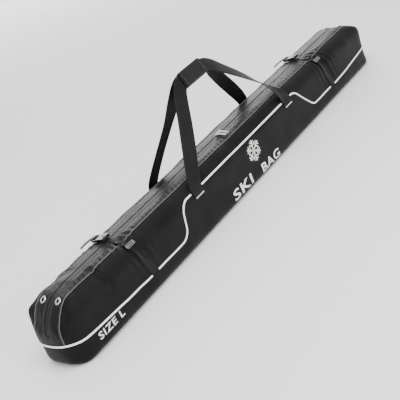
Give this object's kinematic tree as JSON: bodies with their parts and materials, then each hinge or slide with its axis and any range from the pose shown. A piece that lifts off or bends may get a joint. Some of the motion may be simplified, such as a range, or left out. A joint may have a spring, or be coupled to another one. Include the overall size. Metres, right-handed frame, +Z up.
{
  "type": "ski bag",
  "caption": "Long padded ski bag with a full-length top zip, rounded ends, white piping, carrying loops joined by a wrap, and buckled compression straps.",
  "frame": {"origin": "middle of the flat bottom panel", "axes": "+X along the bag towards its far end, -Y is the front with the mark, +Z up"},
  "size_m": [1.9036, 0.1978, 0.4529],
  "materials": {
    "shell_fabric": "plain-woven polyester, slightly glossy",
    "gusset_fabric": "ribbed polyester",
    "webbing": "woven polypropylene webbing",
    "piping": "white reflective piping",
    "seam_cord": "grey seam binding",
    "zip_coil": "nylon coil",
    "grommet_metal": "nickel-plated",
    "slider_metal": "nickel-plated",
    "pull_tab": "light grey moulded tab",
    "buckle_plastic": "moulded acetal",
    "adjuster_plastic": "moulded acetal",
    "tack_thread": "white tack stitching",
    "wrap_fabric": "padded hook-and-loop sleeve"
  },
  "bodies": {
    "bag": {"lower_panel": "shell_fabric", "base_panel": "shell_fabric", "front_side_panel": "shell_fabric", "back_side_panel": "shell_fabric", "front_gusset": "gusset_fabric", "back_gusset": "gusset_fabric", "zip_chain": "zip_coil", "zip_end_stops": "zip_coil", "near_end_piping": "piping", "far_end_piping": "piping", "front_piping": "piping", "back_piping": "piping", "front_seam_cord": "seam_cord", "back_seam_cord": "seam_cord", "eyelet_grommets": "grommet_metal", "eyelet_washers": "grommet_metal", "front_handle_feet": "webbing", "back_handle_feet": "webbing", "handle_tack_strips": "tack_thread", "near_strap_front": "webbing", "near_strap_back": "webbing", "near_buckle_female": "buckle_plastic", "near_adjuster": "adjuster_plastic", "far_strap_front": "webbing", "far_strap_back": "webbing", "far_buckle_female": "buckle_plastic", "far_adjuster": "adjuster_plastic"},
    "front_handle": {"front_handle_webbing": "webbing", "handle_wrap": "wrap_fabric"},
    "back_handle": {"back_handle_webbing": "webbing"},
    "near_slider": {"near_slider": "slider_metal"},
    "near_pull_tab": {"near_pull_tab": "pull_tab"},
    "near_buckle_male": {"near_buckle_male": "buckle_plastic", "near_strap_tail": "webbing"},
    "far_slider": {"far_slider": "slider_metal"},
    "far_pull_tab": {"far_pull_tab": "pull_tab"},
    "far_buckle_male": {"far_buckle_male": "buckle_plastic", "far_strap_tail": "webbing"}
  },
  "joints": [
    {"name": "front_handle_swing", "type": "hinge", "parent": "bag", "child": "front_handle", "pos_m": [0, -0.09058, 0.16], "axis": [1, 0, 0], "range_deg": [0, 130]},
    {"name": "back_handle_swing", "type": "hinge", "parent": "bag", "child": "back_handle", "pos_m": [0, 0.09058, 0.16], "axis": [-1, 0, 0], "range_deg": [0, 130]},
    {"name": "near_slider_travel", "type": "slide", "parent": "bag", "child": "near_slider", "axis": [-1, 0, 0], "range_m": [0, 0.575]},
    {"name": "far_slider_travel", "type": "slide", "parent": "bag", "child": "far_slider", "axis": [1, 0, 0], "range_m": [0, 0.535]},
    {"name": "near_tab_flip", "type": "hinge", "parent": "near_slider", "child": "near_pull_tab", "pos_m": [-0.008, 0, 0.1991], "axis": [-1, 0, 0], "range_deg": [0, 195]},
    {"name": "far_tab_flip", "type": "hinge", "parent": "far_slider", "child": "far_pull_tab", "pos_m": [0.008, 0, 0.1991], "axis": [-1, 0, 0], "range_deg": [0, 195]},
    {"name": "near_buckle_release", "type": "slide", "parent": "bag", "child": "near_buckle_male", "axis": [0, 0.9903, -0.1392], "range_m": [0, 0.026]},
    {"name": "far_buckle_release", "type": "slide", "parent": "bag", "child": "far_buckle_male", "axis": [0, 0.9903, -0.1392], "range_m": [0, 0.026]}
  ]
}
